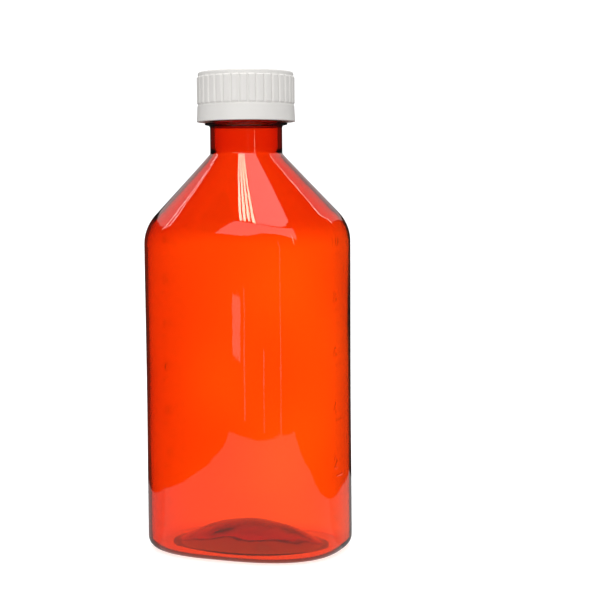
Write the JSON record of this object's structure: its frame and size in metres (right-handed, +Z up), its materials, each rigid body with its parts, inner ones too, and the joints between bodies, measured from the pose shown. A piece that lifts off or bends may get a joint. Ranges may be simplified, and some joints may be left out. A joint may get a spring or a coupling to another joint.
{
  "type": "oval liquid medicine bottle",
  "caption": "Translucent orange oval medicine bottle with a round neck, narrow-end graduations and a white ribbed push-and-turn safety cap.",
  "frame": {"origin": "on the surface that the bottle stands on, on the axis of the neck, at the middle of the oval base", "axes": "+Z up along the neck, the height and longest extent; X along the wide axis of the oval, with the ounce marks on the +X narrow end; Y across the narrow axis, the shortest extent, with -Y the front"},
  "size_m": [0.0716, 0.0554, 0.1654],
  "materials": {
    "bottle": "clear glossy blow-moulded PET, saturated orange-red",
    "liner": "white foamed polyethylene, slightly soft",
    "inner_cap": "natural white moulded polypropylene",
    "spring_ring": "natural moulded polypropylene",
    "outer_cap": "white moulded polypropylene, satin"
  },
  "bodies": {
    "bottle": {"bottle": "bottle"},
    "liner": {"liner": "liner"},
    "inner_cap": {"inner_cap": "inner_cap"},
    "spring_ring": {"spring_ring": "spring_ring"},
    "outer_cap": {"outer_cap": "outer_cap"}
  },
  "joints": [
    {"name": "cap_lift", "type": "slide", "parent": "bottle", "child": "liner", "axis": [0, 0, 1], "range_m": [0, 0.0127]},
    {"name": "cap_turn", "type": "hinge", "parent": "liner", "child": "inner_cap", "pos_m": [0, 0, 0.154], "axis": [0, 0, 1], "range_deg": [0, 1080]},
    {"name": "cap_slip", "type": "hinge", "parent": "inner_cap", "child": "spring_ring", "pos_m": [0, 0, 0.1616], "axis": [0, 0, 1], "continuous": true},
    {"name": "push_down", "type": "slide", "parent": "spring_ring", "child": "outer_cap", "axis": [0, 0, -1], "range_m": [0, 0.0012], "stiffness_N_per_m": 5000, "deforming": ["spring_ring"]}
  ],
  "couplings": [
    {"joint": "cap_lift", "follows": "cap_turn", "m_per_rad": 0.00067322}
  ]
}
